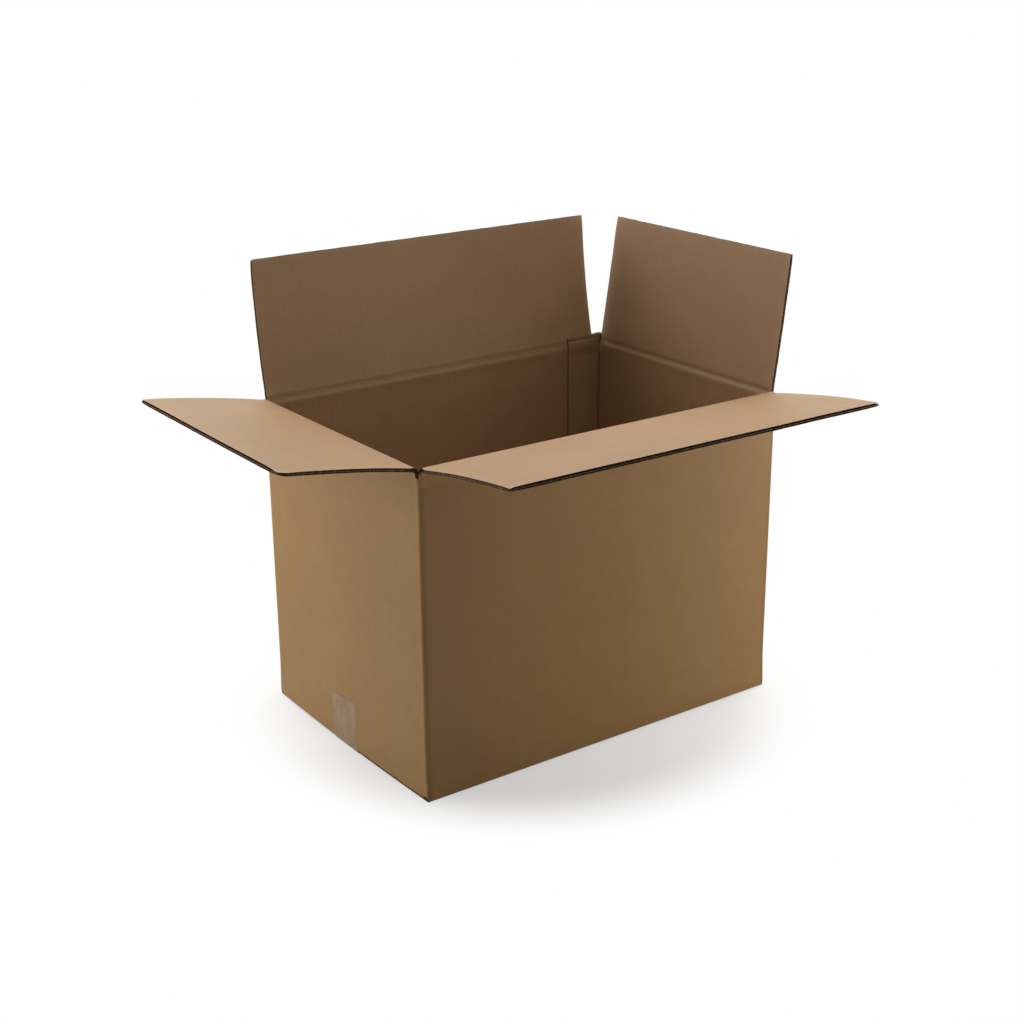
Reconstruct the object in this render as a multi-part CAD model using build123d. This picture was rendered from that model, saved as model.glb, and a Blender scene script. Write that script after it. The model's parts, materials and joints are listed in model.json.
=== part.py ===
from build123d import *
import math
import os

# Outside of the shell, and the height of the fold that the two end flaps turn on
length = 600.0
width = 404.0
end_fold_height = 448.6

# Double-wall board: three liners, fine flutes on the outer side and coarse flutes on the inner side
liner = 0.35
medium = 0.45
fine_height = 2.15
fine_pitch = 6.4
fine_pocket_depth = 16.0
coarse_height = 3.10
coarse_pitch = 9.6
coarse_pocket_depth = 24.0
flute_margin = 3.0
board = 3 * liner + fine_height + coarse_height

# Folds of the top flaps: a pivot line just outside the wall, and two mitred edges that meet when closed
pivot_offset = 0.15
mitre_clearance = 0.1
mitre_relief = 4.0
stack_clearance = 0.3

# Depth of each top flap from its fold, measured along the outer liner
front_depth = 202.6
back_depth = 197.2
left_depth = 187.2
right_depth = 201.3

# Angle of each flap at its fold, up from the horizontal that points away from the box,
# and how far the board has bowed between the fold and the free edge
front_lean = 10.55
front_bow = -5.8
back_lean = 77.0
back_bow = 10.8
left_lean = 13.65
left_bow = -5.5
right_lean = 80.7
right_bow = 1.7

# How far the ends of the long flaps stay back from the corners of the shell
front_inset_left = 0.4
front_inset_right = 5.8
back_inset_left = 3.0
back_inset_joint = 18.0

# How far the sides of the end flaps stay back from the inside of the long walls
left_gap_front = 1.3
left_gap_back = 0.5
right_gap_front = 0.5
right_gap_joint = 0.7

# The free corner of the left flap that is nearest the front is worn round
worn_corner_radius = 12.0

# Long cut-open flutes along the sides of a flap
side_groove_depth = 1.8
side_groove_margin = 4.0

# Corners of the shell, and the slots between the top flaps
corner_radius = 5.0
slot_overcut = 0.6
slot_reach = 4.0

# Glued joint inside the back wall, and the web of board left standing at its corner
tab_width = 61.4
tab_thickness = 2.6
tab_end_clearance = 0.4
web_height = 17.4
web_clearance = 1.0

# Bottom flaps: the long pair lies outermost, the end pair lies on top of it
bottom_fold_radius = 5.0
bottom_inner_radius = 1.0
bottom_seam = 1.5
bottom_end_depth = 195.0
bottom_end_side_gap = 3.0
bottom_reveal = 2.0
layer_gap = 0.4

# Adhesive tape along the bottom seam, turned up on both end walls
tape_width = 66.0
tape_thickness = 0.15
tape_centre = 8.0
tape_rise = 70.0

# How far cutting shapes run past the faces they cut
overshoot = 1.0

long_fold_height = end_fold_height + board + stack_clearance
shell_top = end_fold_height + web_height
half_length = length / 2
half_width = width / 2
inside_half_length = half_length - board
inside_half_width = half_width - board
end_layer = board + layer_gap
up = Vector(0, 0, 1)


class Flap:
    """One top flap, bowed in an arc, seen along its fold: x outward, y up, z along the fold."""

    def __init__(self, outward, reach, fold_height, low, high, depth, lean, bow):
        self.outward = Vector(*outward)
        self.fold = Plane(
            origin=self.outward * (reach + pivot_offset) + up * fold_height,
            x_dir=self.outward,
            z_dir=self.outward.cross(up),
        )
        self.low = low
        self.high = high
        self.depth = depth
        self.lean = math.radians(lean)
        self.bow = math.radians(bow)

    def direction(self, along):
        """Angle of the board at a distance along it from the fold."""
        return self.lean + self.bow * along / self.depth

    def point(self, along, level):
        """Point at a distance along the outer liner and a level above that liner."""
        radius = self.depth / self.bow
        angle = self.direction(along)
        offset = Vector(-math.sin(angle), math.cos(angle)) * level
        root = Vector(-math.sin(self.lean), math.cos(self.lean)) * pivot_offset
        arc = Vector(math.sin(angle) - math.sin(self.lean), math.cos(self.lean) - math.cos(angle)) * radius
        return root + arc + offset

    def strip(self, low_start, high_start, end, low_level, high_level):
        """Section of the board between two levels, with a start of its own on each of them."""
        low_middle = (low_start + end) / 2
        high_middle = (high_start + end) / 2
        corners = [
            self.point(low_start, low_level),
            self.point(end, low_level),
            self.point(end, high_level),
            self.point(high_start, high_level),
        ]
        outline = [
            ThreePointArc(corners[0], self.point(low_middle, low_level), corners[1]),
            Line(corners[1], corners[2]),
            ThreePointArc(corners[2], self.point(high_middle, high_level), corners[3]),
            Line(corners[3], corners[0]),
        ]
        return Face(Wire(outline))

    def pull(self, section, low, high):
        """A section pulled along the fold from one place to another."""
        return Pos(0, 0, low) * extrude(section, amount=high - low, dir=(0, 0, 1))


def pyramid(base, tip):
    """Solid with a flat base that narrows to one point."""
    sides = [Face(Wire.make_polygon([a, b, tip])) for a, b in zip(base, base[1:] + base[:1])]
    return Solid(Shell(sides + [Face(Wire.make_polygon(base))]))


def flute_pockets(flap, first, last, level, height, pitch, depth):
    """Open ends of one layer of flutes: triangular hollows, pointing inward and outward by turns."""
    angle = flap.direction(flap.depth)
    across = Vector(-math.sin(angle), math.cos(angle))
    inward = Vector(-math.cos(angle), -math.sin(angle))
    along = Vector(0, 0, 1)
    slope = math.atan(2 * height / pitch)
    half_base = pitch / 2 - medium / (2 * math.sin(slope))
    rise = height - medium / (2 * math.cos(slope))
    spread = 1 + overshoot / depth
    mouth = flap.point(flap.depth, level)
    count = int((last - first) // (pitch / 2)) - 1
    start = (first + last - (count - 1) * pitch / 2) / 2
    pockets = []
    for index in range(count):
        upright = index % 2 == 0
        foot = 0.0 if upright else height
        peak = rise if upright else height - rise
        triangle = [(-half_base, foot), (half_base, foot), (0.0, peak)]
        middle = sum(y for x, y in triangle) / 3
        centre = mouth + along * (start + index * pitch / 2) + across * middle
        base = [
            centre - inward * overshoot + along * (x * spread) + across * ((y - middle) * spread)
            for x, y in triangle
        ]
        pockets.append(pyramid(base, centre + inward * depth))
    return pockets


def side_grooves(flap):
    """Flutes cut open lengthwise along both sides of a flap."""
    start = board + side_groove_margin
    end = flap.depth - side_groove_margin
    grooves = []
    for level, height in flute_layers():
        section = flap.strip(start, start, end, level + medium / 2, level + height - medium / 2)
        grooves.append(flap.pull(section, flap.low - overshoot, flap.low + side_groove_depth))
        grooves.append(flap.pull(section, flap.high - side_groove_depth, flap.high + overshoot))
    return grooves


def flute_layers():
    """Level above the outer liner, and height, of the fine and the coarse flute layer."""
    fine_level = liner
    coarse_level = 2 * liner + fine_height
    return [(fine_level, fine_height), (coarse_level, coarse_height)]


def make_flap(flap, worn_low=0.0):
    """A top flap with its mitred root and its open flute ends."""
    outer_start = pivot_offset + mitre_clearance
    inner_start = outer_start + board
    section = flap.strip(outer_start, inner_start, flap.depth, 0.0, board)
    solid = flap.pull(section, flap.low, flap.high)
    if worn_low > 0:
        corner = flap.point(flap.depth, board / 2) + Vector(0, 0, flap.low)
        worn = solid.edges().sort_by_distance(corner)[0]
        solid = fillet(worn, worn_low)
    (fine_level, _), (coarse_level, _) = flute_layers()
    first = flap.low + max(flute_margin, worn_low)
    last = flap.high - flute_margin
    cuts = flute_pockets(flap, first, last, fine_level, fine_height, fine_pitch, fine_pocket_depth)
    cuts += flute_pockets(flap, first, last, coarse_level, coarse_height, coarse_pitch, coarse_pocket_depth)
    cuts += side_grooves(flap)
    solid = solid - cuts
    return flap.fold.location * solid


def mitre_cutter(flap, low, high):
    """Takes the top off a wall below its flap, down to the mitred edge."""
    fall = math.tan(math.radians(45 + mitre_relief))
    outer = overshoot
    inner = -(pivot_offset + board + overshoot)
    edge = pivot_offset * (fall - 1) - mitre_clearance
    top = web_height + board + overshoot
    outline = [(inner, inner * fall + edge), (outer, outer * fall + edge), (outer, top), (inner, top)]
    section = Face(Wire.make_polygon([Vector(x, y) for x, y in outline]))
    return flap.fold.location * flap.pull(section, low, high)


def block(x, y, z):
    """Box between two places on each axis."""
    size = Box(x[1] - x[0], y[1] - y[0], z[1] - z[0])
    return Pos((x[0] + x[1]) / 2, (y[0] + y[1]) / 2, (z[0] + z[1]) / 2) * size


def folded_panel(outward, reach, bottom, flap_depth, half_span):
    """A wall and its bottom flap, bent from one strip of board and pulled along the fold."""
    outer = reach
    inner = reach - board
    tip = reach - flap_depth
    outline = Polyline(
        (outer, bottom),
        (outer, shell_top),
        (inner, shell_top),
        (inner, bottom + board),
        (tip, bottom + board),
        (tip, bottom),
        close=True,
    )
    section = make_face(outline)
    outer_bend = section.vertices().sort_by_distance((outer, bottom, 0))[0]
    section = fillet(outer_bend, bottom_fold_radius)
    inner_bend = section.vertices().sort_by_distance((inner, bottom + board, 0))[0]
    section = fillet(inner_bend, bottom_inner_radius)
    outward = Vector(*outward)
    seat = Plane(origin=(0, 0, 0), x_dir=outward, z_dir=outward.cross(up))
    return seat.location * extrude(section, amount=half_span, both=True)


def long_edge_grooves():
    """Flutes cut open along the ends of the outer bottom flaps."""
    grooves = []
    end = half_length - bottom_reveal
    near = bottom_seam / 2 + side_groove_margin
    far = half_width - bottom_fold_radius - side_groove_margin
    for level, height in flute_layers():
        z = (level + medium / 2, level + height - medium / 2)
        for x in [(-end - overshoot, -end + side_groove_depth), (end - side_groove_depth, end + overshoot)]:
            grooves.append(block(x, (near, far), z))
            grooves.append(block(x, (-far, -near), z))
    return grooves


def make_box_body():
    """Four walls, four bottom flaps and the glued tab, folded from one blank."""
    long_depth = half_width - bottom_seam / 2
    body = folded_panel((0, -1, 0), half_width, 0.0, long_depth, half_length)
    body += folded_panel((0, 1, 0), half_width, 0.0, long_depth, half_length)
    body += folded_panel((-1, 0, 0), half_length, end_layer, bottom_end_depth, inside_half_width)
    body += folded_panel((1, 0, 0), half_length, end_layer, bottom_end_depth, inside_half_width)

    tab_inner = inside_half_width - tab_thickness
    tab_top = end_fold_height - tab_end_clearance
    tab_bottom = end_layer + board + tab_end_clearance
    body += block(
        (inside_half_length - tab_width, inside_half_length),
        (tab_inner, inside_half_width),
        (tab_bottom, tab_top),
    )

    shell = extrude(RectangleRounded(length, width, corner_radius), amount=shell_top)
    body = body & shell

    end_faces = half_length + overshoot
    side_faces = half_width + overshoot
    web_start_x = half_length - back_inset_joint + web_clearance
    web_start_y = tab_inner
    cuts = [
        mitre_cutter(front, -end_faces, end_faces),
        mitre_cutter(back, -end_faces, web_start_x),
        mitre_cutter(left, -inside_half_width, inside_half_width),
        mitre_cutter(right, -web_start_y, inside_half_width),
    ]

    slot_floor = end_fold_height - slot_overcut
    slot_z = (slot_floor, shell_top + overshoot)
    slot_x = (half_length - slot_reach, end_faces)
    left_x = (-slot_x[1], -slot_x[0])
    front_y = (-side_faces, -(inside_half_width - left_gap_front))
    back_y = (inside_half_width - left_gap_back, side_faces)
    right_front_y = (-side_faces, -(inside_half_width - right_gap_front))
    cuts.append(block(left_x, front_y, slot_z))
    cuts.append(block(left_x, back_y, slot_z))
    cuts.append(block(slot_x, right_front_y, slot_z))

    reveal = half_length - bottom_reveal
    gap_z = (board, end_layer)
    side_z = (board, end_layer + board)
    for side in (-1, 1):
        ends = sorted((side * reveal, side * end_faces))
        cuts.append(block(ends, (-side_faces, side_faces), (-overshoot, end_layer)))
        flap_x = sorted((side * end_faces, side * (half_length - bottom_end_depth - overshoot)))
        cuts.append(block(flap_x, (-inside_half_width, inside_half_width), gap_z))
        gap_x = sorted((side * inside_half_length, side * (half_length - bottom_end_depth - overshoot)))
        side_y = (inside_half_width - bottom_end_side_gap, inside_half_width)
        cuts.append(block(gap_x, side_y, side_z))
        cuts.append(block(gap_x, (-side_y[1], -side_y[0]), side_z))

    tape_y = (tape_centre - tape_width / 2, tape_centre + tape_width / 2)
    cuts.append(block((-end_faces, end_faces), tape_y, (-overshoot, tape_thickness)))
    cuts += long_edge_grooves()
    return body - cuts


def make_bottom_tape():
    """Tape under the seam that turns up round the ends of the bottom and onto the end walls."""
    face = half_length + tape_thickness
    bend = bottom_reveal + tape_thickness
    quarter = bend * (1 - math.sqrt(0.5))
    line = [
        Line((-face, tape_rise), (-face, bend)),
        ThreePointArc((-face, bend), (-face + quarter, quarter), (-face + bend, 0)),
        Line((-face + bend, 0), (face - bend, 0)),
        ThreePointArc((face - bend, 0), (face - quarter, quarter), (face, bend)),
        Line((face, bend), (face, tape_rise)),
        Line((face, tape_rise), (half_length, tape_rise)),
        Line((half_length, tape_rise), (half_length, bend)),
        ThreePointArc(
            (half_length, bend),
            (half_length - bottom_reveal * (1 - math.sqrt(0.5)), bend - bottom_reveal * math.sqrt(0.5)),
            (face - bend, tape_thickness),
        ),
        Line((face - bend, tape_thickness), (-face + bend, tape_thickness)),
        ThreePointArc(
            (-face + bend, tape_thickness),
            (-half_length + bottom_reveal * (1 - math.sqrt(0.5)), bend - bottom_reveal * math.sqrt(0.5)),
            (-half_length, bend),
        ),
        Line((-half_length, bend), (-half_length, tape_rise)),
        Line((-half_length, tape_rise), (-face, tape_rise)),
    ]
    section = Face(Wire(line))
    seat = Plane(origin=(0, tape_centre + tape_width / 2, 0), x_dir=(1, 0, 0), z_dir=(0, -1, 0))
    return seat.location * extrude(section, amount=tape_width, dir=(0, 0, 1))


front = Flap(
    (0, -1, 0), half_width, long_fold_height,
    -(half_length - front_inset_right), half_length - front_inset_left,
    front_depth, front_lean, front_bow,
)
back = Flap(
    (0, 1, 0), half_width, long_fold_height,
    -(half_length - back_inset_left), half_length - back_inset_joint,
    back_depth, back_lean, back_bow,
)
left = Flap(
    (-1, 0, 0), half_length, end_fold_height,
    -(inside_half_width - left_gap_front), inside_half_width - left_gap_back,
    left_depth, left_lean, left_bow,
)
right = Flap(
    (1, 0, 0), half_length, end_fold_height,
    -(inside_half_width - tab_thickness - right_gap_joint), inside_half_width - right_gap_front,
    right_depth, right_lean, right_bow,
)

nodes = {
    "box_body": make_box_body(),
    "bottom_tape": make_bottom_tape(),
    "front_flap": make_flap(front),
    "back_flap": make_flap(back),
    "left_flap": make_flap(left, worn_corner_radius),
    "right_flap": make_flap(right),
}

os.makedirs("parts", exist_ok=True)
for name, shape in nodes.items():
    export_step(shape, f"parts/{name}.step")
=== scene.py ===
import bmesh
import bpy
import json
import math
from mathutils import Matrix, Vector, noise


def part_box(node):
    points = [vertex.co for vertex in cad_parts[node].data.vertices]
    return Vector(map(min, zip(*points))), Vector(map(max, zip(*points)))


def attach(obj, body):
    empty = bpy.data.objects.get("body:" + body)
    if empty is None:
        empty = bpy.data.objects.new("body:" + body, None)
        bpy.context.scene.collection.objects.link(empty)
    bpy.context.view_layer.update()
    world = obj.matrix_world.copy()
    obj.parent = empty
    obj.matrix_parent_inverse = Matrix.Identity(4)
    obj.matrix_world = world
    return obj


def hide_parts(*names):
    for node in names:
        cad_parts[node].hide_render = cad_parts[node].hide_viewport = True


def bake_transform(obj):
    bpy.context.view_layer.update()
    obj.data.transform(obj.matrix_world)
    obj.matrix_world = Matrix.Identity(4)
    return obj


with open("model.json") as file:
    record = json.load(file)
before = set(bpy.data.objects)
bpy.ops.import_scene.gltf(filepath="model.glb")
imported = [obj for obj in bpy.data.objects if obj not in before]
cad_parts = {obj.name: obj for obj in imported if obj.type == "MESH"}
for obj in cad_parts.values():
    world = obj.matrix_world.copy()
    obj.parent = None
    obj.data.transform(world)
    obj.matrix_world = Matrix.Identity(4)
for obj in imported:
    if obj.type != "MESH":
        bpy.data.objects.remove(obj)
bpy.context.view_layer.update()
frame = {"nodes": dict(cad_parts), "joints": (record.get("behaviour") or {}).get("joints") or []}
joints = {joint["name"]: joint for joint in frame["joints"]}
up = Vector((0, 0, 1))
mm = 0.001

# Double-wall board: three liners, fine flutes on the outer side and coarse flutes on the inner side
liner = 0.35 * mm
medium = 0.3 * mm
fine_height = 2.15 * mm
fine_pitch = 6.4 * mm
coarse_height = 3.10 * mm
coarse_pitch = 9.6 * mm
fine_level = liner
coarse_level = 2 * liner + fine_height
board = 3 * liner + fine_height + coarse_height
pivot_offset = 0.15 * mm

# Shell of the box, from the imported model
shell_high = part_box("box_body")[1]
half_length = shell_high.x
half_width = shell_high.y
inside_x = half_length - board
inside_y = half_width - board
wall_top = 436 * mm
slot_floor = 448 * mm
corner_radius = 5 * mm

# Creases: how far they reach along the flap, and the reach of the turn on each side of the board
crease_reach = 15 * mm
inner_turn = 12 * mm
outer_turn = 2.5 * mm
layer_split = board / 2
crease_rows = 44
hair_gap = 0.02 * mm

# Where a sprung or pressed fold starts to leave its line, and the reach of that change
lift_start = -4 * mm
lift_reach = 12 * mm

# Cut edges: how far the knife wandered, how ragged the cut is, how deep its flutes lie open, and
# the closer mesh lines beside it
knife_wander = 0.35 * mm
cut_raggedness = 0.45 * mm
tunnel_depth = 15 * mm
flute_inset = 0.4 * mm
flute_steps = 8
edge_steps = [0, 0.5 * mm, 1.2 * mm, 2.5 * mm, 4.5 * mm, 8 * mm]

# How uneven the flaps and the walls are
flap_unevenness = 0.5 * mm
wall_unevenness = 0.6 * mm

# Foot of the walls, pushed out by the bottom flaps: how far, and up to which height
end_bulge = 3.2 * mm
end_bulge_height = 110 * mm
side_bulge = 2.6 * mm
side_bulge_height = 60 * mm

# Glued tab inside the back wall
tab_left = 232.3 * mm
tab_face = 193.1 * mm
tab_top = 465.0 * mm
web_start = 283 * mm
web_top = 465.5 * mm

# Tape on the bottom seam
tape_thickness = 0.15 * mm
tape_bend = 2.15 * mm
tape_columns = 40
tape_wall_rows = 26
tape_bend_rows = 7
tape_floor_rows = 61
tape_row_length = 2.7 * mm

# Shadow on the floor: distances from the middle between which it fades out, and the white mixed into it
shadow_near = 0.30
shadow_far = 0.44
shadow_white = 0.48

# Colours of the liners, of the dark flecks in them, of the cut board and of the tape
outer_dark = (0.434, 0.234, 0.0730)
outer_light = (0.532, 0.297, 0.0960)
inner_dark = (0.300, 0.179, 0.0860)
inner_light = (0.380, 0.230, 0.1140)
fleck_colour = (0.05, 0.03, 0.015)
cut_dark = (0.045, 0.025, 0.012)
cut_light = (0.34, 0.215, 0.12)
tape_clear = (0.42, 0.250, 0.110)
tape_milky = (0.56, 0.39, 0.235)
white = (1, 1, 1, 1)

# Photograph's camera, worked out from the box's own edges
image_size = 1020
focal_pixels = 1661.2
sensor_width = 36.0
camera_azimuth = math.radians(-35.314)
camera_elevation = math.radians(19.824)
camera_roll = math.radians(-0.476)
camera_distance = 2.572
camera_target = Vector((0.0807, 0.1429, 0.22695))


def smooth(value):
    """Rises smoothly from 0 to 1 as the value does."""
    value = min(max(value, 0.0), 1.0)
    return value * value * (3 - 2 * value)


def hump(distance, reach):
    """Smooth hump of height 1 that has died away at twice its reach."""
    return math.exp(-(distance / reach) ** 2)


def rough(x, y, seed):
    """Smooth noise between about -1 and 1."""
    return noise.noise(Vector((x, y, seed)))


def spaced(low, high, step, near):
    """Values from low to high at about one step, with closer ones near both ends."""
    inner_low = low + near[-1]
    inner_high = high - near[-1]
    count = max(1, round((inner_high - inner_low) / step))
    middle = [inner_low + (inner_high - inner_low) * index / count for index in range(count + 1)]
    return [low + gap for gap in near[:-1]] + middle + [high - gap for gap in reversed(near[:-1])]


class Mesh:
    """Points, texture places, shades and faces of one object."""

    finishes = ("outer", "inner", "edge")

    def __init__(self):
        self.points = []
        self.places = []
        self.shades = []
        self.faces = []
        self.face_finishes = []

    def add_row(self, row):
        for point, place, shade in row:
            self.points.append(point)
            self.places.append(place)
            self.shades.append(shade)

    def face(self, corners, finish):
        self.faces.append(corners)
        self.face_finishes.append(self.finishes.index(finish))

    def sheet(self, upper, lower, upper_finish, lower_finish, edge_finish="edge"):
        """Closed sheet between two grids that have the same rows and columns."""
        rows = len(upper)
        columns = len(upper[0])
        first = len(self.points)
        for grid in (upper, lower):
            for row in grid:
                self.add_row(row)

        def corner(side, row, column):
            return first + (side * rows + row) * columns + column

        for row in range(rows - 1):
            for column in range(columns - 1):
                for side, finish in ((0, upper_finish), (1, lower_finish)):
                    quad = [
                        corner(side, row, column), corner(side, row, column + 1),
                        corner(side, row + 1, column + 1), corner(side, row + 1, column),
                    ]
                    self.face(quad if side == 0 else quad[::-1], finish)
            for column in (0, columns - 1):
                quad = [
                    corner(0, row, column), corner(0, row + 1, column),
                    corner(1, row + 1, column), corner(1, row, column),
                ]
                self.face(quad if column == 0 else quad[::-1], edge_finish)
        for column in range(columns - 1):
            for row in (0, rows - 1):
                quad = [
                    corner(0, row, column), corner(1, row, column),
                    corner(1, row, column + 1), corner(0, row, column + 1),
                ]
                self.face(quad if row == 0 else quad[::-1], edge_finish)

    def loft(self, loops, side_finish, cap_finish):
        """Closed body through rings of points."""
        first = len(self.points)
        count = len(loops[0])
        for loop in loops:
            self.add_row(loop)
        for ring in range(len(loops) - 1):
            for index in range(count):
                after = (index + 1) % count
                start = first + ring * count
                quad = [start + index, start + after, start + count + after, start + count + index]
                self.face(quad, side_finish(index) if callable(side_finish) else side_finish)
        self.face([first + index for index in range(count)][::-1], cap_finish)
        self.face([first + (len(loops) - 1) * count + index for index in range(count)], cap_finish)

    def build(self, name, materials, sharp_angle=35):
        data = bpy.data.meshes.new(name)
        data.from_pydata([tuple(point) for point in self.points], [], self.faces)
        for finish in self.finishes:
            data.materials.append(materials[finish])
        data.polygons.foreach_set("material_index", self.face_finishes)
        layer = data.uv_layers.new(name="board")
        for loop in data.loops:
            layer.data[loop.index].uv = self.places[loop.vertex_index]
        shade = data.attributes.new("shade", "FLOAT", "POINT")
        shade.data.foreach_set("value", self.shades)
        settle(data, sharp_angle)
        return link(name, data)


def settle(data, sharp_angle):
    """Faces the mesh outward and smooths it, except over its sharp edges."""
    shape = bmesh.new()
    shape.from_mesh(data)
    bmesh.ops.recalc_face_normals(shape, faces=shape.faces[:])
    for face in shape.faces:
        face.smooth = True
    for edge in shape.edges:
        edge.smooth = len(edge.link_faces) == 2 and edge.calc_face_angle() < math.radians(sharp_angle)
    shape.to_mesh(data)
    shape.free()


def link(name, data):
    piece = bpy.data.objects.new(name, data)
    bpy.context.scene.collection.objects.link(piece)
    return piece


class Fold:
    """A top flap and the fold it turns on, seen along the fold: x outward, y up."""

    def __init__(
        self, name, depth, lean, bow, twist, wall_ends, ridge, valley, scored=1.0, worn_low=0.0,
        root_lift=(0.0, 0.0), tip_lift=(0.0, 0.0), notch=0.0, skew=0.0, light_ramp=0.0,
    ):
        joint = joints[name + "_flap_fold"]
        axis = Vector(joint["axis"])
        self.name = name
        self.pivot = Vector(joint["pos_m"])
        self.outward = up.cross(axis)
        self.along = Vector((abs(axis.x), abs(axis.y), 0))
        low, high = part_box(name + "_flap")
        self.low = low.dot(self.along)
        self.high = high.dot(self.along)
        self.depth = depth
        self.lean = math.radians(lean)
        self.bow = math.radians(bow)
        self.twist = math.radians(twist)
        self.bend = (math.pi / 2 - self.lean) * (pivot_offset + board / 2)
        self.wall_low, self.wall_high = wall_ends
        self.ridge = ridge - self.pivot.z
        self.valley = valley - self.pivot.z
        self.worn_low = worn_low
        self.scored = scored
        self.root_lift = root_lift
        self.tip_lift = tip_lift
        self.notch = notch
        self.skew = skew
        self.light_ramp = light_ramp
        self.seed = self.pivot.x * 7 + self.pivot.y * 13

    def section(self, station, level, lean):
        """Place across the fold at a distance up the board, which is 0 where the wall starts to bend."""
        if station < 0:
            return -(pivot_offset + level), station
        if station < self.bend:
            angle = math.pi - (math.pi / 2 - lean) * station / self.bend
            return math.cos(angle) * (pivot_offset + level), math.sin(angle) * (pivot_offset + level)
        angle = lean + self.bow * (station - self.bend) / self.depth
        radius = self.depth / self.bow
        x = radius * (math.sin(angle) - math.sin(lean))
        y = radius * (math.cos(lean) - math.cos(angle))
        x = x - pivot_offset * math.sin(lean) - level * math.sin(angle)
        y = y + pivot_offset * math.cos(lean) + level * math.cos(angle)
        return x, y

    def point(self, station, level, place):
        across = 2 * (place - self.low) / (self.high - self.low) - 1
        x, y = self.section(station, level, self.lean + self.twist * across)
        gone = min(max((station - self.bend) / self.depth, 0.0), 1.0)
        y += self.raised(station, (across + 1) / 2, gone)
        return self.pivot + self.along * (place + self.skew * gone) + self.outward * x + up * y

    def raised(self, station, share, gone):
        """Spring up or press down of the board, at a share of the fold and a share of the flap."""
        root = self.root_lift[0] + (self.root_lift[1] - self.root_lift[0]) * share
        tip = self.tip_lift[0] + (self.tip_lift[1] - self.tip_lift[0]) * share
        return root * smooth((station - lift_start) / lift_reach) * (1 - gone) + tip * gone

    def ends(self, station):
        """Both ends of the board along the fold at a distance up it."""
        height = self.pivot.z + station
        if station < 0 and height < slot_floor:
            return self.wall_low, self.wall_high
        beyond = station - (self.bend + self.depth - self.worn_low)
        worn = 0.0
        if self.worn_low > 0 and beyond > 0:
            beyond = min(beyond, self.worn_low)
            worn = self.worn_low - math.sqrt(self.worn_low ** 2 - beyond ** 2)
        wander = knife_wander * smooth(station / crease_reach)
        notch = self.notch * smooth((station + 7 * mm) / (9 * mm))
        notch *= 1 - smooth((station - 4 * mm) / (20 * mm))
        low = self.low + worn + notch + wander * rough(station * 25, 0, self.seed)
        high = self.high + wander * rough(station * 25, 5, self.seed)
        return low, high

    def grid(self, stations, shares, level, inset=0.0, relief=True):
        """Surface at one level of the board, from shares of its span along the fold."""
        rows = []
        for station in stations:
            low, high = self.ends(station)
            ragged = cut_raggedness * smooth(station / crease_reach)
            low += inset + ragged * max(0.0, rough(station * 130, level * 900, self.seed))
            high -= inset + ragged * max(0.0, rough(station * 130, level * 900, self.seed + 6))
            row = []
            for share in shares:
                place = low + share * (high - low)
                edge = min(place - low, high - place) + inset
                end = self.bend + self.depth - station
                free = smooth((station - self.bend - crease_reach) / (40 * mm))
                lift = self.squeezed(level, station, edge, end)
                lift += flap_unevenness * free * rough(place * 9, station * 9, self.seed + 3)
                if relief:
                    lift += self.relief(station, place) * (level / board) ** 2
                reach = knife_wander * rough(place * 60, 0, self.seed + 8) * smooth(1 - end / (6 * mm))
                point = self.point(station + reach * free, lift, place)
                texture_place = (place + self.seed, self.pivot.z + station)
                row.append((point, texture_place, self.shade(station, edge, end)))
            rows.append(row)
        return rows

    def squeezed(self, level, station, edge, end):
        """Level of a layer where the knives have crushed the board, most at its corners."""
        crushed = 0.20 * math.exp(-edge / (4 * mm)) + 0.06 * math.exp(-end / (2.5 * mm))
        crushed += 0.30 * math.exp(-(edge + end) / (9 * mm))
        return board / 2 + (level - board / 2) * (1 - smooth(station / crease_reach) * crushed)

    def relief(self, station, place):
        """Bead and groove that the scoring wheel left on the inner liner."""
        wobble = 0.4 * mm * rough(place * 15, 0, self.seed + 5)
        past = station - self.ridge - wobble
        bead = 0.40 * mm * hump(past, 4 * mm if past > 0 else 6.5 * mm)
        groove = 0.85 * mm * hump(station - self.valley - wobble, 4.0 * mm)
        return (bead - groove) * self.scored

    def shade(self, station, edge, end):
        """Brightness of the liner: lighter along its edges and its free end, painted shade in the
        groove, and painted light running from darker at the root to lighter at the tip.
        """
        # Lighter along its edges and at its free end.
        paler_edges = 0.10 * hump(edge - 4 * mm, 4 * mm) + 0.04 * hump(end, 5 * mm)
        # Painted shade in the groove of the score.
        groove_shade = 0.10 * self.scored * hump(station - self.valley, 4 * mm)
        # Painted light: darker at the root, lighter towards the tip.
        light_slope = self.light_ramp * (2 * smooth(station / self.depth) - 1) * smooth(station / crease_reach)
        return 1 + paler_edges - groove_shade + light_slope


def shares_of(span, step, near):
    return [value / span for value in spaced(0, span, step, near)]


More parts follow.
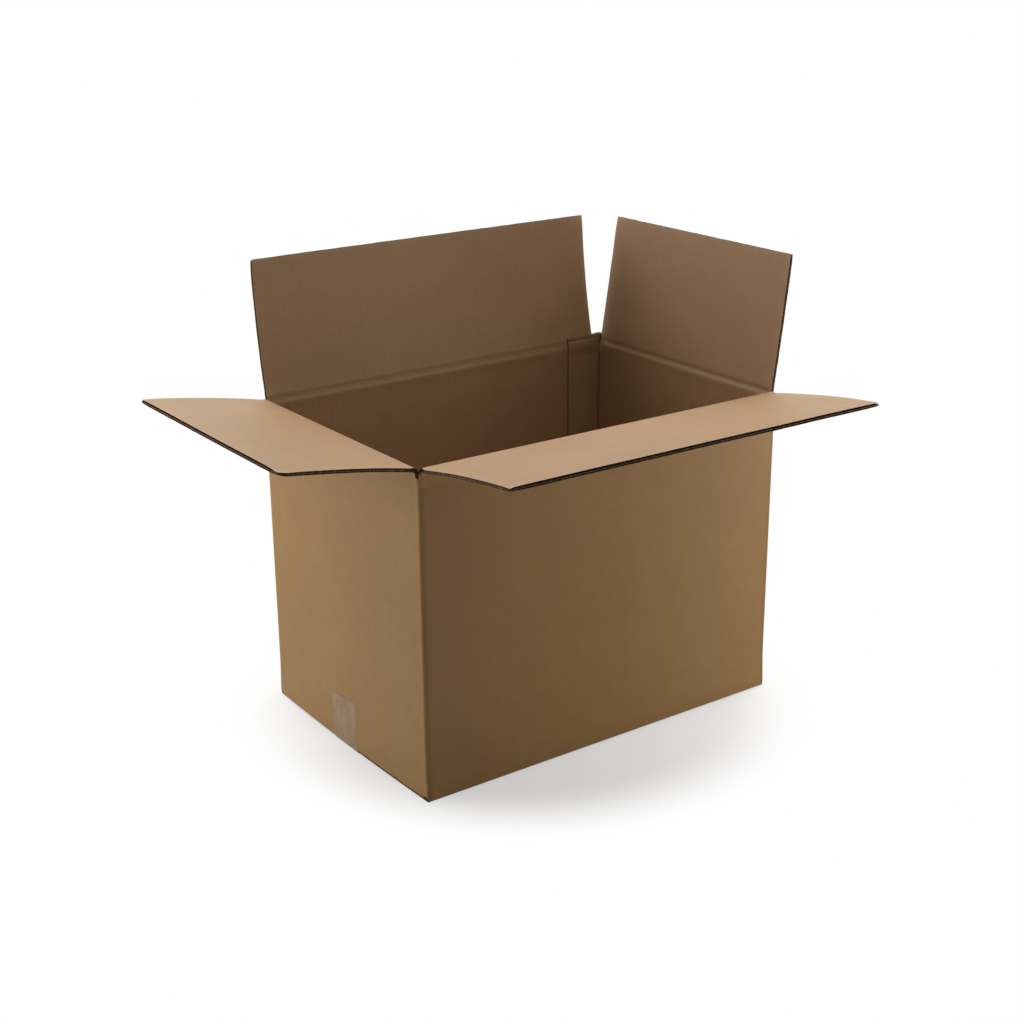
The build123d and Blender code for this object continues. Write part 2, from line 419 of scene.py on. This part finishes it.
def make_flap_board(fold, materials):
    """Flap from just above its crease to its free edge, with liners and open flutes."""
    mesh = Mesh()
    span = fold.high - fold.low
    start = fold.bend + crease_reach
    end = fold.bend + fold.depth
    shares = shares_of(span, 9 * mm, edge_steps)
    stations = spaced(start, end, 4.5 * mm, [0, 1 * mm, 2.5 * mm, 5 * mm, 8 * mm, 12 * mm])
    for level, lower_finish, upper_finish in (
        (0, "outer", "edge"), (coarse_level - liner, "edge", "edge"), (board - liner, "edge", "inner"),
    ):
        upper = fold.grid(stations, shares, level + liner)
        lower = fold.grid(stations, shares, level)
        mesh.sheet(upper, lower, upper_finish, lower_finish, "inner")
    core_stations = spaced(start, end - tunnel_depth, 5 * mm, [0, 4 * mm])
    core_shares = shares_of(span, 20 * mm, [0, 5 * mm])
    core_inset = 0.9 * mm
    for level, height in ((fine_level, fine_height), (coarse_level, coarse_height)):
        upper = fold.grid(core_stations, core_shares, level + height - hair_gap, core_inset)
        lower = fold.grid(core_stations, core_shares, level + hair_gap, core_inset)
        mesh.sheet(upper, lower, "edge", "edge")
    make_flutes(mesh, fold, end)
    return finish_piece(mesh.build(fold.name + "_flap_board", materials), fold.name + "_flap")


def make_flutes(mesh, fold, end):
    """Wave of both mediums, open at the free edge."""
    for level, height, pitch in (
        (fine_level, fine_height, fine_pitch), (coarse_level, coarse_height, coarse_pitch),
    ):
        low, high = fold.ends(end)
        low += flute_inset
        high -= flute_inset
        count = round((high - low) / pitch * flute_steps)
        swing = (height - medium) / 2
        grids = []
        for side in (1, -1):
            rows = []
            for station in (end - tunnel_depth, end - knife_wander):
                row = []
                for index in range(count + 1):
                    place = low + (high - low) * index / count
                    drift = 0.5 * rough(place * 12, level * 900, fold.seed)
                    wave = math.sin(2 * math.pi * place / pitch + drift)
                    crush = 1 - 0.12 * (1 + rough(place * 40, level * 500, fold.seed + 2)) / 2
                    lift = level + height / 2 + swing * wave * crush + side * medium / 2
                    lift = fold.squeezed(lift, station, min(place - low, high - place), end - station)
                    row.append((fold.point(station, lift, place), (place, station), 0.9))
                rows.append(row)
            grids.append(rows)
        mesh.sheet(grids[0], grids[1], "edge", "edge")


def make_creases(fold, materials):
    """Bent board between a wall and its flap: a sharply turned outer half and a wide inner half."""
    span = fold.high - fold.low
    shares = shares_of(span, 9 * mm, edge_steps)
    bottom = wall_top - fold.pivot.z
    top = fold.bend + crease_reach
    slot = slot_floor - fold.pivot.z
    stations = [bottom + (top - bottom) * index / crease_rows for index in range(crease_rows + 1)]
    stations = sorted(stations + [slot - 0.4 * mm, slot + 0.4 * mm])
    core_inset = 1.4 * mm
    for side, turn, liner_level, core in (
        ("outer", outer_turn, 0.0, (liner + hair_gap, layer_split - hair_gap)),
        ("inner", inner_turn, board - liner, (layer_split + hair_gap, board - liner - hair_gap)),
    ):
        mesh = Mesh()
        upper = fold.grid(stations, shares, liner_level + liner)
        lower = fold.grid(stations, shares, liner_level)
        if side == "outer":
            mesh.sheet(upper, lower, "edge", "outer")
        else:
            mesh.sheet(upper, lower, "inner", "edge")
        upper = fold.grid(stations, shares, core[1], core_inset)
        lower = fold.grid(stations, shares, core[0], core_inset)
        mesh.sheet(upper, lower, "edge", "edge")
        piece = mesh.build(f"{fold.name}_{side}_crease", materials)
        bend_with(piece)


def bend_with(piece):
    """Bakes the piece's placement into its points."""
    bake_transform(piece)


def finish_piece(piece, body):
    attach(piece, body)
    return piece


def body_finish(centre, normal):
    """Which finish a face of the shell has, from where it lies and faces."""
    push_x, push_y = bulge(*centre)
    centre = Vector((
        centre.x - (push_x if abs(centre.x) > inside_x else 0),
        centre.y - (push_y if abs(centre.y) > inside_y else 0), centre.z,
    ))
    side = (abs(normal.x), abs(normal.y), abs(normal.z))
    if centre.z < 6.5 * mm and normal.z > -0.5 and side[0] > 0.9:
        return "edge"
    rim = corner_radius + 0.1 * mm
    if abs(centre.x) > half_length - rim and normal.x * centre.x > 0.05 * abs(centre.x):
        return "outer"
    if abs(centre.y) > half_width - rim and normal.y * centre.y > 0.05 * abs(centre.y):
        return "outer"
    if centre.z < 0.3 * mm and normal.z < -0.5:
        return "outer"
    inside = abs(centre.x) < inside_x - 1 * mm and abs(centre.y) < inside_y - 2.8 * mm
    if inside and centre.z < 14 * mm and side[2] < 0.5:
        return "edge"
    if abs(centre.x - tab_left) < 0.5 * mm and side[0] > 0.9:
        return "edge"
    if 0.1 * mm < centre.z < 6.2 * mm:
        return "edge"
    return "inner"


def bulge(x, y, z):
    """How far the foot of the walls is pushed out: on an end wall, and on a long wall."""
    middle = max(0.0, 1 - (y / half_width) ** 2)
    end = end_bulge * middle * (1 - smooth(z / end_bulge_height))
    side = side_bulge * (1 - smooth(z / side_bulge_height))
    return math.copysign(end, x), math.copysign(side, y)


def corner_shade(x, y, z):
    """Brightness beside the scored corners: lighter on the end walls, painted shade on the long walls
    and in the inner corners, and painted shade over the left end of the front wall.
    """
    end = max(0.0, half_length - abs(x))
    side = max(0.0, half_width - abs(y))
    # Painted shade in the inner vertical corners, darkest beside the tab.
    if abs(x) < inside_x + 1 * mm and abs(y) < inside_y + 1 * mm:
        inner_y = tab_face if x > tab_left and y > 0 else inside_y
        gap = math.hypot(inside_x - abs(x), inner_y - abs(y))
        return 1 - (0.6 if inner_y == tab_face else 0.4) * hump(gap, 1.6 * mm)
    # Long walls: painted shade beside the corner, and over the left end of the front wall.
    if side < 0.1 * mm:
        dimmer = 0.13 * (1 - smooth(end / (170 * mm))) if x < 0 and y < 0 else 0.0
        return 1 - 0.22 * hump(end - corner_radius, 2.5 * mm) - dimmer
    if end < 0.1 * mm:
        return 1 + 0.08 * hump(side - corner_radius, 3 * mm)
    # Round the corner: from painted shade on the long wall to lighter on the end wall.
    if end < corner_radius and side < corner_radius:
        return 0.80 + 0.28 * smooth(side / corner_radius)
    return 1.0


def make_shell(materials):
    """Walls, bottom flaps and glued tab below the creases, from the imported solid."""
    data = frame["nodes"]["box_body"].data.copy()
    shape = bmesh.new()
    shape.from_mesh(data)
    bmesh.ops.remove_doubles(shape, verts=shape.verts[:], dist=0.001 * mm)

    def cut(place, normal, clear):
        everything = shape.verts[:] + shape.edges[:] + shape.faces[:]
        return bmesh.ops.bisect_plane(
            shape, geom=everything, plane_co=place, plane_no=normal, clear_outer=clear, dist=0.001 * mm
        )

    found = cut(Vector((0, 0, wall_top)), up, True)
    rim = [item for item in found["geom_cut"] if isinstance(item, bmesh.types.BMEdge)]
    bmesh.ops.triangle_fill(shape, edges=rim, use_beauty=True)
    step = 25 * mm
    for axis, reach in ((Vector((1, 0, 0)), half_length), (Vector((0, 1, 0)), half_width)):
        count = int(reach / step)
        for index in range(-count, count + 1):
            cut(axis * index * step, axis, False)
        for gap in (7.8 * mm, 12 * mm):
            cut(axis * (reach - gap), axis, False)
            cut(axis * (gap - reach), axis, False)
    cut(Vector((0, tab_face - 1.6 * mm, 0)), Vector((0, 1, 0)), False)
    for index in range(1, int(wall_top / step)):
        cut(up * index * step, up, False)
    bmesh.ops.triangulate(shape, faces=[face for face in shape.faces if len(face.verts) > 4])
    for vertex in shape.verts:
        x, y, z = vertex.co
        rise = smooth(z / (60 * mm)) * smooth((wall_top - z) / (40 * mm))
        if abs(y) > tab_face - 0.5 * mm and abs(x) < inside_x - 0.5 * mm:
            keep = rise * smooth((inside_x - abs(x)) / (50 * mm))
            vertex.co.y += wall_unevenness * keep * rough(x * 6, z * 5, math.copysign(4, y))
        elif abs(x) > inside_x - 0.5 * mm and abs(y) < inside_y - 0.5 * mm:
            keep = rise * smooth((inside_y - abs(y)) / (50 * mm))
            vertex.co.x += wall_unevenness * keep * rough(y * 6, z * 5, math.copysign(9, x))
        push_x, push_y = bulge(x, y, z)
        if abs(x) > inside_x - 0.5 * mm:
            vertex.co.x += push_x
        if abs(y) > inside_y - 0.5 * mm:
            vertex.co.y += push_y
    shape.to_mesh(data)
    shape.free()
    data.materials.clear()
    for finish in Mesh.finishes:
        data.materials.append(materials[finish])
    layer = data.uv_layers.get("board") or data.uv_layers.new(name="board")
    # Painted shade and lighter strips beside the corners, from corner_shade.
    shade = data.attributes.new("shade", "FLOAT", "POINT")
    shade.data.foreach_set("value", [corner_shade(*vertex.co) for vertex in data.vertices])
    for face in data.polygons:
        face.material_index = Mesh.finishes.index(body_finish(face.center, face.normal))
        flat = max(range(3), key=lambda axis: abs(face.normal[axis]))
        for loop in face.loop_indices:
            x, y, z = data.vertices[data.loops[loop].vertex_index].co
            if flat == 0:
                side = math.copysign(half_length, face.center.x)
                layer.data[loop].uv = (y + side * 7, z)
            elif flat == 1:
                side = math.copysign(half_width, face.center.y)
                layer.data[loop].uv = (x + side * 13, z)
            else:
                layer.data[loop].uv = (x + 3, y)
    settle(data, 35)
    shell = link("carton_shell", data)
    finish_piece(shell, "carton")
    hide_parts("box_body")


def make_lips(materials):
    """Lower edges of the end walls, where the liner laps over the ends of the bottom flaps."""
    mesh = Mesh()
    lip_top = 14 * mm
    kink = -31 * mm
    reach = half_width - 3.5 * mm
    columns = spaced(-reach, reach, 6 * mm, [0, 1 * mm, 2.5 * mm, 4.5 * mm, 7 * mm])
    profile = ((0.03, 0), (0.06, 3.0), (-0.05, 1.2), (-0.5, 0.3), (-1.2, 0))
    back = ((-0.5, 0), (-0.5, 3.2), (-0.6, 1.6), (-0.9, 0.9), (-1.3, 0.5))
    for side in (-1, 1):
        grids = []
        for points in (profile, back):
            rows = []
            for index, (proud, rise) in enumerate(points):
                row = []
                for y in columns:
                    corner = 5 * mm * (1 - smooth((reach - abs(y)) / (7 * mm)))
                    bottom = 3.5 * mm - 2.0 * mm * smooth((y - kink) / (5 * mm)) + corner
                    bottom += 0.3 * mm * rough(y * 45, side, 4)
                    height = lip_top if index == 0 else bottom + rise * mm
                    x = side * (half_length + proud * mm)
                    x += bulge(x, y, height)[0]
                    row.append((Vector((x, y, height)), (y + side * 7, height), 1.0))
                rows.append(row)
            grids.append(rows)
        mesh.sheet(grids[0], grids[1], "outer", "edge")
    finish_piece(mesh.build("end_lips", materials), "carton")


def post_outline(side_x, side_y):
    """Section of a corner of the shell: rounded outside, square inside."""
    outline = [(inside_x, inside_y), (half_length, inside_y)]
    centre_x = half_length - corner_radius
    centre_y = half_width - corner_radius
    for index in range(7):
        angle = index / 6 * math.pi / 2
        x = centre_x + corner_radius * math.cos(angle)
        y = centre_y + corner_radius * math.sin(angle)
        outline.append((x, y))
    outline.append((inside_x, half_width))
    return [(x * side_x, y * side_y) for x, y in outline]


def make_posts(materials):
    """Corners of the shell between the creases, up to the floors of the slots."""
    mesh = Mesh()
    for side_x, side_y in ((-1, -1), (1, -1), (-1, 1), (1, 1)):
        top = web_top if (side_x, side_y) == (1, 1) else slot_floor - 0.6 * mm
        outline = post_outline(side_x, side_y)
        heights = [wall_top, (wall_top + top) / 2, top - 1.2 * mm, top]
        loops = []
        for height in heights:
            shrink = 0.35 * mm if height == top else 0.0
            loop = []
            for x, y in outline:
                ragged = 0.6 * mm * rough(x * 400, y * 400, side_x + 2) if height == top else 0.0
                near_x = x - math.copysign(shrink, x)
                near_y = y - math.copysign(shrink, y)
                place = Vector((near_x, near_y, height + ragged))
                loop.append((place, (x + y + side_x, height), 1.0))
            loops.append(loop)

        def side(index):
            return "outer" if 1 <= index <= 8 else "inner"

        mesh.loft(loops, side, "edge")
    add_flake(mesh)
    posts = mesh.build("corner_posts", materials)
    finish_piece(posts, "carton")


def add_flake(mesh):
    """Torn scrap of liner that stands in the notch at the near corner, narrower towards its tip."""
    flake_root = slot_floor - 2 * mm
    flake_height = 8.5 * mm
    root_width = 4.2 * mm
    tip_width = 0.4 * mm
    grids = []
    for depth in (0.1 * mm, 0.6 * mm):
        rows = []
        for step in range(5):
            share = step / 4
            width = root_width * (1 - share) ** 0.7 + tip_width
            middle = -half_length + 2.9 * mm - 0.8 * mm * share
            height = flake_root + flake_height * share
            row = []
            for side_share in (-0.5, 0, 0.5):
                y = -half_width + depth + 0.5 * mm * share
                place = Vector((middle + side_share * width, y, height))
                row.append((place, (place.x * 3, height), 1.0))
            rows.append(row)
        grids.append(rows)
    mesh.sheet(grids[0], grids[1], "inner", "inner", "inner")


def make_web(materials):
    """Web of board beside the corner post, left standing between the back flap and the right flap."""
    mesh = Mesh()
    runs = (
        (lambda along, level: Vector((along, half_width - level, 0)), web_start, inside_x),
        (lambda along, level: Vector((half_length - level, along, 0)), tab_face, inside_y),
    )
    for place, low, high in runs:
        rows = {0.0: [], board: []}
        for index in range(9):
            height = wall_top + (web_top - wall_top) * index / 8
            for level, grid in rows.items():
                row = []
                for step in range(7):
                    along = low + (high - low) * step / 6
                    drop = (1 - step / 6) * 1.5 * mm * smooth((index - 6) / 2)
                    point = place(along, level) + up * (height - drop)
                    row.append((point, (along, height), 1.0))
                grid.append(row)
        mesh.sheet(rows[board], rows[0.0], "inner", "outer")
    web = mesh.build("corner_web", materials)
    finish_piece(web, "carton")


def make_tab_top(fold, materials):
    """Top of the glued tab, shaped along the back flap's fold."""
    mesh = Mesh()
    bottom = wall_top - fold.pivot.z
    top = tab_top - fold.pivot.z
    stations = [bottom + (top - bottom) * index / 24 for index in range(25)]
    thickness = inside_y - tab_face
    grids = []
    for level in (board + thickness, board + 0.05 * mm):
        rows = []
        for station in stations:
            row = []
            high = inside_x - 0.2 * mm - 10 * mm * smooth((station + 6 * mm) / (4 * mm))
            for index in range(16):
                place = tab_left + (high - tab_left) * index / 15
                press = 0.8 * mm * hump(station - 4 * mm, 1.6 * mm)
                slant = 1.2 * mm * smooth((station - 6 * mm) / (4 * mm)) * rough(place * 30, 1, 3)
                lift = level + fold.relief(station, place) * 0.7 - press
                # The tab top carries painted shade: its colour is scaled to 0.80 for its recess.
                row.append((fold.point(station + slant, lift, place), (place + 2, station), 0.80))
            rows.append(row)
        grids.append(rows)
    mesh.sheet(grids[0], grids[1], "inner", "inner")
    piece = mesh.build("tab_top", materials)
    bend_with(piece)


def make_tape(materials):
    """Tape under the seam, turned up on both end walls, with torn saw-tooth ends."""
    low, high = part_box("bottom_tape")
    face = high.x
    path = []
    rise = high.z
    for index in range(tape_wall_rows):
        path.append(("wall", 1 - index / (tape_wall_rows - 1)))
    for index in range(tape_bend_rows):
        path.append(("bend", (index + 1) / (tape_bend_rows + 1)))
    for index in range(tape_floor_rows):
        path.append(("floor", index / (tape_floor_rows - 1)))

    def outline(kind, share, slope):
        if kind == "wall":
            height = tape_bend + (rise - tape_bend + slope) * share
            return Vector((-face, 0, height)), Vector((1, 0, 0))
        if kind == "bend":
            angle = math.pi + share * math.pi / 2
            direction = Vector((math.cos(angle), 0, math.sin(angle)))
            return Vector((-face + tape_bend, 0, tape_bend)) + direction * tape_bend, -direction
        return Vector((-face + tape_bend + share * 2 * (face - tape_bend), 0, 0)), up

    def skew(kind, share, mirrored):
        """How far the tape's near and far edges stray from straight, most on the wall that shows."""
        if mirrored:
            return 0.0, 0.0
        if kind == "wall":
            return (-4 + 6.5 * share) * mm, (-8 + 11 * share) * mm
        left = 1 - share if kind == "floor" else 1.0
        return -4 * mm * left, -8 * mm * left

    rows = [[], []]
    far_side = path[:tape_wall_rows + tape_bend_rows][::-1]
    for step, (kind, share) in enumerate(path + far_side):
        mirrored = step >= len(path)
        length = step * tape_row_length
        for side in (0, 1):
            row = []
            for index in range(tape_columns + 1):
                across = index / tape_columns
                tooth = 0.9 * mm * (index % 2) + 1.5 * mm * rough(across * 3, mirrored, 2)
                slope = (across - 0.5) * (4 * mm if mirrored else -6 * mm)
                end = (slope + tooth) * (1 if share > 0.99 else 0.98)
                point, inward = outline(kind, share, end)
                if mirrored:
                    point = Vector((-point.x, 0, point.z))
                    inward = Vector((-inward.x, 0, inward.z))
                near, far = skew(kind, share, mirrored)
                y = low.y + near + (high.y + far - low.y - near) * across
                wrinkle = 0.12 * mm * max(0, rough(across * 22, step * 0.11, 6)) if kind == "wall" else 0
                depth = tape_thickness if side else 0
                place = point + inward * (depth - wrinkle) + Vector((0, y, 0))
                if kind != "floor":
                    place.x += bulge(place.x, y, place.z)[0]
                row.append((place, (y, length), 1.0))
            rows[side].append(row)
    mesh = Mesh()
    mesh.sheet(rows[0], rows[1], "outer", "outer", "outer")
    tape = mesh.build("seam_tape", {finish: materials["tape"] for finish in Mesh.finishes}, 60)
    finish_piece(tape, "carton")
    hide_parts("bottom_tape")


def add_node(tree, kind, values=None, **settings):
    """New node with its settings, and with values or links on its inputs."""
    node = tree.nodes.new(kind)
    for key, value in settings.items():
        setattr(node, key, value)
    for key, value in (values or {}).items():
        if isinstance(value, bpy.types.NodeSocket):
            tree.links.new(value, node.inputs[key])
        else:
            node.inputs[key].default_value = value
    return node


def calculate(tree, operation, first, second=0.0):
    return add_node(tree, "ShaderNodeMath", {0: first, 1: second}, operation=operation).outputs[0]


def noise_at(tree, place, scale, detail, roughness=0.5, stretch=(1, 1, 1)):
    """Noise over the board, finer or coarser along each of its directions."""
    mapped = add_node(tree, "ShaderNodeMapping", {"Vector": place, "Scale": stretch}).outputs[0]
    values = {"Vector": mapped, "Scale": scale, "Detail": detail, "Roughness": roughness}
    return add_node(tree, "ShaderNodeTexNoise", values).outputs[0]


def ramp_of(tree, value, low, high):
    """0 where a value is low and 1 where it is high."""
    values = {"Value": value, "From Min": low, "From Max": high}
    return add_node(tree, "ShaderNodeMapRange", values).outputs[0]


def mix_colours(tree, share, first, second):
    """Mix of two colours, each a linked output or red, green and blue."""
    values = {"Factor": share}
    for key, colour in (("A", first), ("B", second)):
        values[key] = colour if isinstance(colour, bpy.types.NodeSocket) else (*colour, 1)
    return add_node(tree, "ShaderNodeMix", values, data_type="RGBA").outputs["Result"]


def new_material(name, roughness, specular):
    material = bpy.data.materials.new(name)
    material.use_nodes = True
    shader = material.node_tree.nodes["Principled BSDF"]
    shader.inputs["Roughness"].default_value = roughness
    shader.inputs["Specular IOR Level"].default_value = specular
    return material, material.node_tree, shader


def liner_material(name, dark, light, pitch, washboard, roughness, specular=0.5):
    """Kraft liner: mottled, with fibres, flecks and faint lines over the flutes."""
    material, tree, shader = new_material(name, roughness, specular)
    place = add_node(tree, "ShaderNodeUVMap", uv_map="board").outputs[0]
    across = add_node(tree, "ShaderNodeSeparateXYZ", {0: place}).outputs[0]
    blotch = noise_at(tree, place, 9, 2)
    mottle = noise_at(tree, place, 55, 5, 0.6)
    streak = noise_at(tree, place, 130, 3, 0.6, (1, 0.12, 1))
    fibre = noise_at(tree, place, 700, 4, 0.7, (0.35, 1, 1))
    drift = calculate(tree, "MULTIPLY", noise_at(tree, place, 6, 1), 6.0)
    turns = calculate(tree, "MULTIPLY", across, 2 * math.pi / pitch)
    flute = calculate(tree, "SINE", calculate(tree, "ADD", turns, drift))
    total = calculate(tree, "MULTIPLY", blotch, 0.35)
    for part, weight in ((mottle, 0.35), (streak, 0.12), (fibre, 0.55), (flute, washboard)):
        total = calculate(tree, "ADD", total, calculate(tree, "MULTIPLY", part, weight))
    colour = mix_colours(tree, ramp_of(tree, total, 0.5, 0.95), dark, light)
    fleck = ramp_of(tree, noise_at(tree, place, 420, 2), 0.70, 0.78)
    flecked = mix_colours(tree, calculate(tree, "MULTIPLY", fleck, 0.35), colour, fleck_colour)
    shade = add_node(tree, "ShaderNodeAttribute", attribute_name="shade").outputs["Fac"]
    scaled = add_node(
        tree, "ShaderNodeVectorMath", {0: flecked, "Scale": shade}, operation="SCALE"
    ).outputs[0]
    tree.links.new(scaled, shader.inputs["Base Color"])
    height = calculate(tree, "MULTIPLY", flute, 0.012 * mm)
    for part, weight in ((mottle, 0.05 * mm), (fibre, 0.07 * mm), (streak, 0.03 * mm)):
        height = calculate(tree, "ADD", height, calculate(tree, "MULTIPLY", part, weight))
    bump = add_node(tree, "ShaderNodeBump", {"Height": height, "Distance": 1.0}).outputs[0]
    tree.links.new(bump, shader.inputs["Normal"])
    return material


def edge_material():
    """Cut board and corrugated medium: dark, with torn fibres."""
    material, tree, shader = new_material("cut_board", 0.9, 0.2)
    place = add_node(tree, "ShaderNodeUVMap", uv_map="board").outputs[0]
    fibre = calculate(tree, "MULTIPLY", noise_at(tree, place, 500, 4, 0.7), 0.45)
    torn = ramp_of(tree, noise_at(tree, place, 190, 3, 0.6), 0.50, 0.62)
    light = calculate(tree, "ADD", fibre, calculate(tree, "MULTIPLY", torn, 0.5))
    tree.links.new(mix_colours(tree, light, cut_dark, cut_light), shader.inputs["Base Color"])
    return material


def tape_material():
    """Clear tape stuck to brown board: a little greyer and glossier than the board."""
    material, tree, shader = new_material("packing_tape", 0.42, 0.35)
    place = add_node(tree, "ShaderNodeUVMap", uv_map="board").outputs[0]
    scuff = noise_at(tree, place, 520, 4, 0.65, (1, 0.05, 1))
    worn = noise_at(tree, place, 45, 3, 0.6, (1, 0.6, 1))
    milky = calculate(tree, "MULTIPLY", scuff, worn)
    scuffed = ramp_of(tree, milky, 0.16, 0.38)
    tree.links.new(mix_colours(tree, scuffed, tape_clear, tape_milky), shader.inputs["Base Color"])
    height = calculate(tree, "MULTIPLY", scuff, 0.25 * mm)
    bump = add_node(tree, "ShaderNodeBump", {"Height": height, "Distance": 1.0}).outputs[0]
    tree.links.new(bump, shader.inputs["Normal"])
    return material


def make_camera():
    data = bpy.data.cameras.new("camera")
    data.sensor_width = sensor_width
    data.lens = focal_pixels / image_size * sensor_width
    data.clip_end = 50
    camera = bpy.data.objects.new("camera", data)
    bpy.context.scene.collection.objects.link(camera)
    level = math.cos(camera_elevation)
    back = Vector((
        math.sin(camera_azimuth) * level,
        -math.cos(camera_azimuth) * level,
        math.sin(camera_elevation),
    ))
    right = (-back).cross(up).normalized()
    top = back.cross(right)
    turned_right = right * math.cos(camera_roll) + top * math.sin(camera_roll)
    turned_up = top * math.cos(camera_roll) - right * math.sin(camera_roll)
    place = Matrix((turned_right, turned_up, back)).transposed().to_4x4()
    place.translation = camera_target + back * camera_distance
    camera.matrix_world = place
    bpy.context.scene.camera = camera


def area_light(name, place, target, size, power):
    data = bpy.data.lights.new(name, "AREA")
    data.size = size
    data.energy = power
    lamp = bpy.data.objects.new(name, data)
    bpy.context.scene.collection.objects.link(lamp)
    lamp.visible_camera = False
    lamp.location = place
    lamp.rotation_mode = "QUATERNION"
    lamp.rotation_quaternion = (Vector(target) - Vector(place)).to_track_quat("-Z", "Y")


def make_world(strength):
    """White to the camera and in reflections, and a weak even light on the object."""
    world = bpy.data.worlds.new("studio")
    world.use_nodes = True
    bpy.context.scene.world = world
    tree = world.node_tree
    tree.nodes.clear()
    seen = add_node(tree, "ShaderNodeBackground", {"Color": white, "Strength": 1.0}).outputs[0]
    light = add_node(tree, "ShaderNodeBackground", {"Color": white, "Strength": strength}).outputs[0]
    path = add_node(tree, "ShaderNodeLightPath")
    rays = path.outputs
    mirrored = calculate(tree, "MAXIMUM", rays["Is Glossy Ray"], rays["Is Transmission Ray"])
    direct = calculate(tree, "MAXIMUM", rays["Is Camera Ray"], mirrored)
    mix = add_node(tree, "ShaderNodeMixShader", {0: direct, 1: light, 2: seen}).outputs[0]
    add_node(tree, "ShaderNodeOutputWorld", {"Surface": mix})


def floor_material():
    """White floor that fades into the white background, and gives little light back to the walls."""
    material = bpy.data.materials.new("floor")
    material.use_nodes = True
    tree = material.node_tree
    tree.nodes.clear()
    place = add_node(tree, "ShaderNodeNewGeometry").outputs["Position"]
    distance = add_node(tree, "ShaderNodeVectorMath", {0: place}, operation="LENGTH").outputs["Value"]
    light_ramp = {
        "Value": distance, "From Min": shadow_near, "From Max": shadow_far,
        "To Min": shadow_white, "To Max": 1.0,
    }
    far = add_node(tree, "ShaderNodeMapRange", light_ramp, interpolation_type="SMOOTHSTEP").outputs[0]
    shaded = add_node(tree, "ShaderNodeBsdfDiffuse", {"Color": white}).outputs[0]
    glow = add_node(tree, "ShaderNodeEmission", {"Color": white, "Strength": 1.0}).outputs[0]
    dimmer = add_node(tree, "ShaderNodeBsdfDiffuse", {"Color": (0.3, 0.3, 0.3, 1)}).outputs[0]
    seen = add_node(tree, "ShaderNodeMixShader", {0: far, 1: shaded, 2: glow}).outputs[0]
    path = add_node(tree, "ShaderNodeLightPath")
    direct = calculate(tree, "MAXIMUM", path.outputs["Is Camera Ray"], path.outputs["Is Glossy Ray"])
    mix = add_node(tree, "ShaderNodeMixShader", {0: direct, 1: dimmer, 2: seen}).outputs[0]
    add_node(tree, "ShaderNodeOutputMaterial", {"Surface": mix})
    return material


def make_floor():
    reach = 7.0
    drop = 0.3 * mm
    data = bpy.data.meshes.new("floor")
    corners = [(-reach, -reach), (reach, -reach), (reach, reach), (-reach, reach)]
    data.from_pydata([(x, y, -drop) for x, y in corners], [], [(0, 1, 2, 3)])
    data.materials.append(floor_material())
    link("floor", data)


make_camera()
bpy.context.scene.view_settings.view_transform = "Standard"
make_world(0.05)
area_light("top_back", (-0.4, 1.6, 2.2), (0, 0, 0.4), 1.6, 41)
area_light("top_right", (1.2, 0.0, 2.2), (0, 0, 0.3), 1.6, 36)
area_light("top_front", (-0.2, -0.9, 2.3), (0, 0, 0.3), 1.6, 5)
area_light("left", (-1.3, 0.7, 0.6), (-0.3, 0.1, 0.3), 0.8, 5.6)
area_light("left_far", (-2.2, 0.2, 0.8), (-0.3, 0, 0.3), 1.2, 2.2)
area_light("right", (1.05, -1.25, 0.7), (0.2, -0.2, 0.3), 0.8, 1.7)
area_light("right_close", (0.75, -0.6, 0.35), (0.35, -0.2, 0.25), 0.4, 1.5)

materials = {
    "outer": liner_material("kraft_outer", outer_dark, outer_light, fine_pitch, 0.02, 0.58),
    "inner": liner_material("kraft_inner", inner_dark, inner_light, coarse_pitch, 0.025, 0.55),
    "edge": edge_material(),
    "tape": tape_material(),
}

# The back and right flaps carry painted light, darker at their roots and lighter towards their tips.
folds = [
    Fold(
        "front", 202.6 * mm, 10.55, -5.8, -1.35, (-inside_x, inside_x), 445 * mm, 470 * mm, scored=0.2,
        root_lift=(0.0, -4.5 * mm), tip_lift=(1.0 * mm, 7.0 * mm), notch=5.5 * mm, skew=-6.0 * mm,
    ),
    Fold(
        "back", 197.2 * mm, 77.0, 10.8, -0.95, (-inside_x, web_start), 447.5 * mm, 456 * mm,
        worn_low=3.5 * mm, light_ramp=0.12,
    ),
    Fold(
        "left", 187.2 * mm, 13.65, -5.5, 0.0, (-inside_y, inside_y), 440 * mm, 465 * mm, scored=0.2,
        worn_low=12 * mm, root_lift=(6.0 * mm, 3.7 * mm), tip_lift=(1.2 * mm, 0.7 * mm),
    ),
    Fold(
        "right", 201.3 * mm, 80.7, 1.7, -0.75, (-inside_y, tab_face), 447 * mm, 455.5 * mm,
        light_ramp=0.05,
    ),
]
for fold in folds:
    flap = make_flap_board(fold, materials)
    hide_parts(fold.name + "_flap")
    make_creases(fold, materials)
make_shell(materials)
make_lips(materials)
make_posts(materials)
make_web(materials)
make_tab_top(folds[1], materials)
make_tape(materials)
make_floor()
